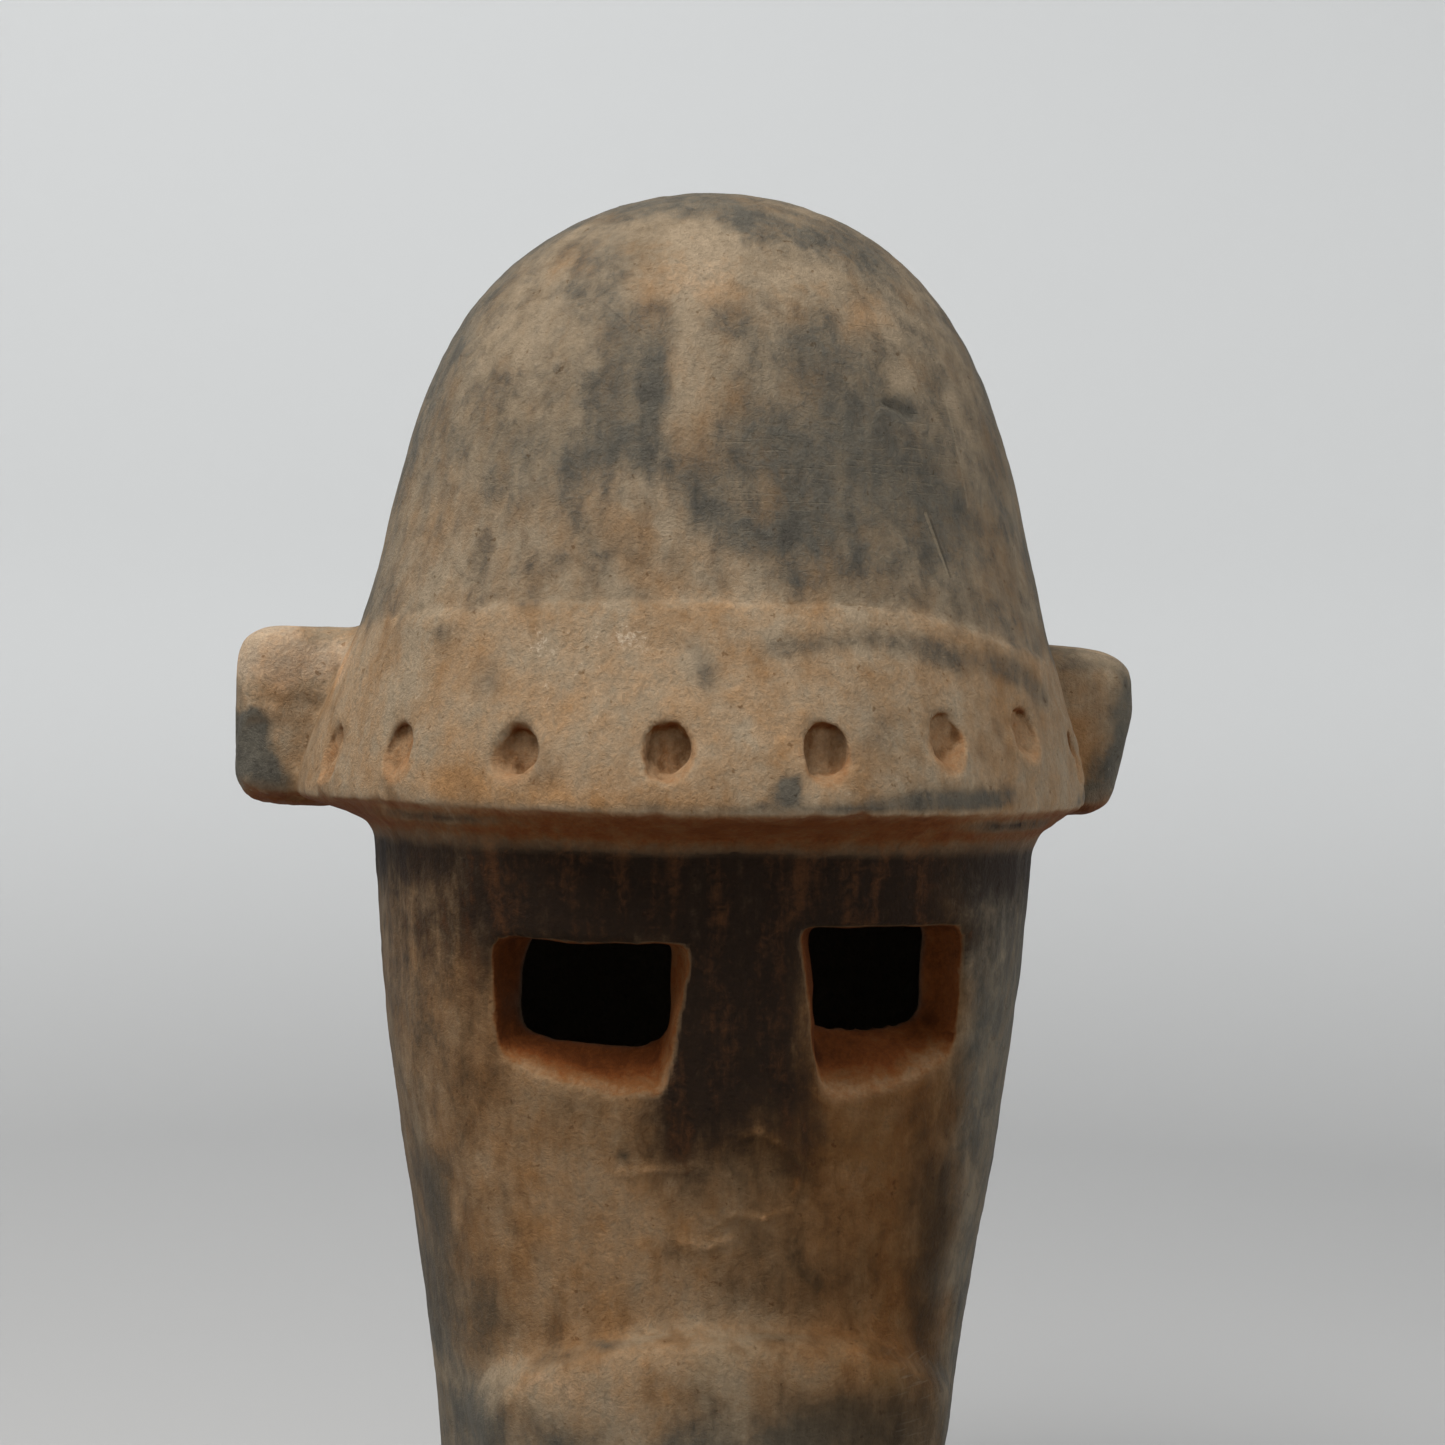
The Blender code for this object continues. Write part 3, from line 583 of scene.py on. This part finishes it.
class Value:
    """A number, colour or direction in a material, so that its maths is written plainly."""

    def __init__(self, shader, socket):
        self.shader = shader
        self.socket = socket

    def math(self, operation, *others, clamp=False):
        inputs = {index: value for index, value in enumerate((self, *others))}
        return self.shader.add("Math", inputs, operation=operation, use_clamp=clamp)

    def __add__(self, other):
        return self.math("ADD", other)

    def __sub__(self, other):
        return self.math("SUBTRACT", other)

    def __rsub__(self, other):
        return self.shader.add("Math", {0: other, 1: self}, operation="SUBTRACT")

    def __mul__(self, other):
        return self.math("MULTIPLY", other)

    def __truediv__(self, other):
        return self.math("DIVIDE", other)

    __radd__ = __add__
    __rmul__ = __mul__

    def clamp(self):
        return self.math("ADD", 0.0, clamp=True)

    def ease(self, low, high):
        """0 below low and 1 above high, or the other way round, with a soft change."""
        inputs = {"Value": self, "From Min": low, "From Max": high}
        return self.shader.add("MapRange", inputs, interpolation_type="SMOOTHSTEP")


class Shader:
    """One material's node tree and the few moves that its patterns are made of."""

    def __init__(self, name):
        self.material = bpy.data.materials.new(name)
        self.material.use_nodes = True
        self.tree = self.material.node_tree
        self.surface = self.tree.nodes["Principled BSDF"]
        self.place = self.add("TexCoord", {}, output="Object")

    def add(self, kind, inputs, output=0, stops=(), **settings):
        """Node of one kind: its settings and a ramp's stops, then its sockets' values or links."""
        node = self.tree.nodes.new("ShaderNode" + kind)
        for setting, value in settings.items():
            setattr(node, setting, value)
        for _ in stops[2:]:
            node.color_ramp.elements.new(1.0)
        for index, (position, colour) in enumerate(stops):
            node.color_ramp.elements[index].position = position
            node.color_ramp.elements[index].color = (*colour, 1.0)
        self.fill(node, inputs)
        return Value(self, node.outputs[output])

    def fill(self, node, inputs):
        """Set sockets to values, or link them."""
        for key, value in inputs.items():
            if isinstance(value, Value):
                self.tree.links.new(value.socket, node.inputs[key])
            else:
                node.inputs[key].default_value = value

    def mix(self, first, second, share, blend="MIX"):
        """Colour between two colours, or the first one tinted by the second."""
        node = self.tree.nodes.new("ShaderNodeMix")
        node.data_type = "RGBA"
        node.blend_type = blend
        sockets = {socket.identifier: socket for socket in node.inputs}
        pairs = (("Factor_Float", share), ("A_Color", first), ("B_Color", second))
        for identifier, value in pairs:
            if isinstance(value, Value):
                self.tree.links.new(value.socket, sockets[identifier])
            elif identifier == "Factor_Float":
                sockets[identifier].default_value = value
            else:
                sockets[identifier].default_value = (*value, 1.0)
        result = next(socket for socket in node.outputs if socket.identifier == "Result_Color")
        return Value(self, result)

    def scratch(self, start, end, half_width, break_up):
        """1 along a thin uneven line on the front, from its ends in millimetres."""
        first = np.array((start[0], 0, start[1])) * MM
        reach = np.array((end[0], 0, end[1])) * MM - first
        flat = self.add("VectorMath", {0: self.place, 1: (1, 0, 1)}, operation="MULTIPLY")
        away = self.add("VectorMath", {0: flat, 1: tuple(first)}, operation="SUBTRACT")
        inputs = {0: away, 1: tuple(reach / (reach @ reach))}
        along = self.add("VectorMath", inputs, "Value", operation="DOT_PRODUCT")
        foot = self.add("VectorMath", {0: tuple(reach), 3: along.clamp()}, operation="SCALE")
        gap = self.add("VectorMath", {0: away, 1: foot}, operation="SUBTRACT")
        distance = self.add("VectorMath", {0: gap}, "Value", operation="LENGTH")
        front = self.add("SeparateXYZ", {"Vector": self.place}, "Y").ease(0.0, -0.02)
        return (distance / (half_width * MM) + break_up * 2.0).ease(1.5, 0.6) * front

    def stretched(self, x, y, z):
        """Object coordinates drawn out by one factor along each axis."""
        return self.add("Mapping", {"Vector": self.place, "Scale": (1 / x, 1 / y, 1 / z)})

    def noise(self, size, stretch=(1, 1, 1), detail=3.0, roughness=0.55, distortion=0.0, seed=0.0):
        """Noise around 0.5 whose lumps have one size in metres."""
        vector = self.stretched(*stretch) if stretch != (1, 1, 1) else self.place
        moved = self.add("VectorMath", {0: vector, 1: (seed, seed * 0.7, -seed)}, operation="ADD")
        inputs = {"Vector": moved, "Scale": 1 / size, "Detail": detail, "Roughness": roughness,
                  "Distortion": distortion}
        return self.add("TexNoise", inputs)

    def channels(self, name):
        """The four values of a colour attribute."""
        whole = self.add("Attribute", {}, "Color", attribute_name=name)
        split = self.add("SeparateColor", {0: whole})
        sockets = (*split.socket.node.outputs, whole.socket.node.outputs["Alpha"])
        return [Value(self, socket) for socket in sockets]


def carved_wood():
    """Old carved wood: tan ground, slate-dark patina, rust-brown rubs, clay remains and raw cuts, with
    painted light and shade worked into them.
    """
    shader = Shader("carved_wood")
    soot_and_painted_light, rubbed_and_lit, rust, chalk = shader.channels("patina")
    ridge, hollow, raw, inside = shader.channels("form")
    oiled_and_shaded, hatched, cut_tone_and_shade, black = shader.channels("wear")

    clouds = shader.noise(0.040, (1, 1, 1.4), detail=6.0, roughness=0.62, seed=1.3) - 0.5
    mottle = shader.noise(0.010, (1, 1, 1.3), detail=6.0, roughness=0.70, distortion=0.4,
                          seed=4.1) - 0.5
    streaks = shader.noise(0.009, (1, 1, 6), detail=5.0, roughness=0.65, seed=7.7) - 0.5
    fibre = shader.noise(0.0012, (1, 1, 14), detail=3.0, seed=2.9) - 0.5
    dust = shader.noise(0.0014, detail=4.0, roughness=0.75, seed=9.2) - 0.5
    flecks = shader.noise(0.0036, detail=5.0, roughness=0.72, distortion=0.6, seed=5.5) - 0.5
    hues = shader.noise(0.017, (1, 1, 1.5), detail=5.0, roughness=0.68, seed=12.6) - 0.5

    # Tan and brown ground, with slate-dark patina lying over it in patches with ragged borders;
    # the patina is partly painted shade on sides turned away from the front and a painted glow at the
    # face's right edge
    browned = (soot_and_painted_light * 0.8 - rubbed_and_lit * 0.8 + hues * 2.4 + mottle * 1.4 + flecks * 0.8 + 0.15).clamp()
    colour = shader.mix((0.278, 0.212, 0.140), (0.164, 0.118, 0.071), browned)
    # Paler where rubbed, and where light is painted on faces turned to the light
    bared_and_lit = (rubbed_and_lit + flecks - 0.55).ease(0.0, 0.8) * 0.7
    colour = shader.mix(colour, (0.430, 0.325, 0.228), bared_and_lit)
    rusty = (rust + hues * 2.2 + clouds * 1.2 + flecks * 0.7).clamp()
    colour = shader.mix(colour, (1.16, 0.84, 0.56), rusty, blend="MULTIPLY")
    dark = (mottle * 2.2 + streaks * 1.2 + 0.45).clamp()
    slate = shader.mix((0.114, 0.100, 0.076), (0.060, 0.056, 0.047), dark)
    slated = soot_and_painted_light * 1.15 - rubbed_and_lit * 0.55 + clouds + mottle * 1.15 + streaks * 0.7
    slated = (slated + flecks * 0.8 + dust * 0.6).ease(0.10, 1.05)
    warm = (rust + oiled_and_shaded * 0.5 - 0.2).clamp()
    slate = shader.mix(slate, (1.14, 0.84, 0.55), warm, blend="MULTIPLY")
    colour = shader.mix(colour, slate, slated)
    # Warm darkening of the face, partly oil and partly painted shade
    oil_and_shade_share = (oiled_and_shaded + mottle * 0.8 + streaks * 0.5).clamp()
    colour = shader.mix(colour, (0.48, 0.36, 0.22), oil_and_shade_share, blend="MULTIPLY")

    # Pitch-black soot on the brow and nose, on the brow partly painted shadow of the brim, with embers
    # of brown wood showing through, and specks
    soot_and_brow_shadow = (black + mottle * 0.6 + streaks * 0.8 + flecks * 0.5).ease(0.12, 0.95)
    ember = (rust * 0.5 + streaks * 2.6 + flecks * 1.4).ease(0.25, 1.0)
    pitch = shader.mix((0.0160, 0.0082, 0.0038), (0.076, 0.029, 0.009), ember * 0.7)
    colour = shader.mix(colour, pitch, soot_and_brow_shadow)
    specks = (shader.noise(0.0032, detail=2.0, roughness=0.6, seed=21.7) - 0.5).ease(0.17, 0.24)
    colour = shader.mix(colour, (0.50, 0.40, 0.30), specks * 0.7, blend="MULTIPLY")

    # Clay remains, cross scratches and single scratches
    clay = (chalk + flecks * 2.2 + dust * 1.6 + mottle * 1.2).ease(0.62, 1.20)
    colour = shader.mix(colour, (0.46, 0.39, 0.30), clay * 0.50)
    hatch = shader.noise(0.0008, (17, 17, 1), detail=2.0, seed=3.3).ease(0.58, 0.68) * hatched
    colour = shader.mix(colour, (0.26, 0.21, 0.145), hatch * 0.22)
    for start, end, half_width, strength in SCRATCHES:
        scratch = shader.scratch(start, end, half_width, flecks) * abs(strength)
        tint = (0.30, 0.24, 0.16) if strength > 0 else (0.035, 0.026, 0.018)
        colour = shader.mix(colour, tint, scratch)

    # Cut wood in the eyes and holes and under the brim, its pale and dark parts partly painted light
    # and shade
    stops = ((0.00, (0.350, 0.225, 0.125)), (0.25, (0.265, 0.150, 0.074)),
             (0.50, (0.190, 0.080, 0.027)), (0.75, (0.140, 0.040, 0.0085)),
             (1.00, (0.074, 0.0195, 0.0034)))
    share = (cut_tone_and_shade + mottle * 0.9 + flecks * 0.7).clamp()
    cut = shader.add("ValToRGB", {"Fac": share}, stops=stops)
    colour = shader.mix(colour, cut, raw)

    # Rubbed edges, grime in the hollows that is partly painted shade in creases, the dull inside, and
    # fine light and dark
    edge_wear = (ridge * (0.70 + flecks * 2.4 + mottle * 2.0)).ease(0.35, 1.0)
    colour = shader.mix(colour, (0.34, 0.245, 0.150), edge_wear * 0.30)
    grime_and_crease_shade = (hollow * (0.85 + mottle * 1.6)).ease(0.35, 1.0)
    colour = shader.mix(colour, (0.45, 0.36, 0.26), grime_and_crease_shade * 0.60, blend="MULTIPLY")
    colour = shader.mix(colour, (0.105, 0.075, 0.050), inside * 0.92)
    shade = fibre * 0.07 + dust * 0.90 + flecks * 0.80 + mottle * 0.45 + 1.0
    colour = shader.add("VectorMath", {0: colour, 3: shade}, operation="SCALE")

    relief = fibre * 0.07 + dust * 0.35 + flecks * 0.60 + mottle * 0.55 - hatch * 0.15
    bump = shader.add("Bump", {"Height": relief, "Strength": 0.9, "Distance": 0.0018})
    rough = 0.72 + dust * 0.3 + raw * 0.15 - slated * 0.12
    shader.fill(shader.surface, {"Base Color": colour, "Roughness": rough, "Normal": bump,
                                 "Specular IOR Level": 0.1})
    return shader.material


def backdrop_paper():
    """Plain pale paper, greyer near the mask's foot, partly as painted shade."""
    shader = Shader("backdrop_paper")
    rise = shader.add("SeparateXYZ", {"Vector": shader.place}, "Z")
    away = shader.add("VectorMath", {0: shader.place}, "Value", operation="LENGTH")
    # Painted shade: the paper is greyer low down and close to the mask
    far = (rise + away * 0.25 - 0.25).ease(-0.15, 0.75)
    colour = shader.mix((0.430, 0.430, 0.430), (0.725, 0.738, 0.745), far)
    shader.fill(shader.surface, {"Base Color": colour, "Roughness": 0.9})
    return shader.material


def make_mask():
    """The mask's one piece of wood, carved and painted."""
    piece = merged_copy(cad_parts["helmet_mask"], "helmet_mask_wood")
    cells = piece.modifiers.new("cells", "REMESH")
    cells.mode = "VOXEL"
    cells.voxel_size = CELL
    skin = Skin(apply_modifiers(piece))
    carve(skin)
    thin = piece.modifiers.new("thin", "DECIMATE")
    thin.use_collapse_triangulate = True
    thin.ratio = KEPT_TRIANGLES / (2 * len(piece.data.polygons))
    skin = Skin(apply_modifiers(piece))
    skin.points = np.clip(skin.points, *np.array(cad_box))
    paint(skin)
    piece.data.shade_smooth()
    piece.data.materials.clear()
    piece.data.materials.append(carved_wood())
    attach(piece, "root")
    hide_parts("helmet_mask")


def make_studio():
    """Round pale floor that curves up into a wall all round."""
    flat, bend, wall = 1.25, 0.6, 1.0
    profile = [(0.0, 0.0), (flat, 0.0)]
    profile += [(flat + bend * math.sin(turn), bend * (1 - math.cos(turn)))
                for turn in np.radians(np.arange(6, 91, 6))]
    profile += [(flat + bend, bend + wall)]
    mesh = bpy.data.meshes.new("studio_floor")
    work = bmesh.new()
    points = [work.verts.new((out, 0.0, up)) for out, up in profile]
    lines = [work.edges.new(pair) for pair in zip(points, points[1:])]
    bmesh.ops.spin(work, geom=points + lines, axis=(0, 0, 1), cent=(0, 0, 0), steps=96,
                   angle=2 * math.pi)
    bmesh.ops.remove_doubles(work, verts=work.verts, dist=0.0001)
    bmesh.ops.recalc_face_normals(work, faces=work.faces)
    bmesh.ops.reverse_faces(work, faces=work.faces)
    work.to_mesh(mesh)
    work.free()
    mesh.shade_smooth()
    mesh.materials.append(backdrop_paper())
    floor = bpy.data.objects.new("studio_floor", mesh)
    bpy.context.scene.collection.objects.link(floor)


def soft_light(name, place, aim, size, power, colour):
    """Square light that shines from a place towards a point."""
    data = bpy.data.lights.new(name, "AREA")
    data.size = size
    data.energy = power
    data.color = colour
    light = bpy.data.objects.new(name, data)
    direction = np.subtract(aim, place)
    across = np.hypot(direction[0], direction[1])
    tilt = math.atan2(across, -direction[2])
    turn = math.atan2(direction[1], direction[0]) - math.pi / 2
    light.matrix_world = (Matrix.Translation(place) @ Matrix.Rotation(turn, 4, "Z")
                          @ Matrix.Rotation(tilt, 4, "X"))
    light.visible_camera = False
    bpy.context.scene.collection.objects.link(light)


def light_studio():
    """Window-like light from the upper left, weak ones on the wall and from the right, pale air."""
    soft_light("window_light", (-0.60, -0.50, 1.80), (0, 0, 0.40), 0.85, 34.5, (1.0, 0.985, 0.96))
    soft_light("wall_light", (-0.3, 0.75, 1.9), (0.0, 1.9, 0.5), 1.2, 5, (1.0, 1.0, 1.0))
    soft_light("far_light", (1.10, -0.35, 0.75), (0.0, 0.0, 0.35), 0.6, 3.5, (0.97, 0.99, 1.0))
    world = bpy.data.worlds.new("studio_air")
    world.use_nodes = True
    sky = world.node_tree.nodes["Background"]
    sky.inputs["Color"].default_value = (0.95, 0.97, 1.0, 1.0)
    sky.inputs["Strength"].default_value = 0.22
    bpy.context.scene.world = world
    bpy.context.scene.view_settings.view_transform = "Standard"


def set_camera():
    """Camera at the band's height, a little left of the middle and turned back towards it."""
    data = bpy.data.cameras.new("camera")
    data.lens = 56.95
    data.sensor_width = 36.0
    camera = bpy.data.objects.new("camera", data)
    camera.matrix_world = (Matrix.Translation((-0.0965, -0.8510, 0.3745))
                           @ Matrix.Rotation(math.radians(-7.0), 4, "Z")
                           @ Matrix.Rotation(math.radians(90.0), 4, "X")
                           @ Matrix.Rotation(math.radians(1.05), 4, "Z"))
    bpy.context.scene.collection.objects.link(camera)
    bpy.context.scene.camera = camera


set_camera()
make_mask()
make_studio()
light_studio()
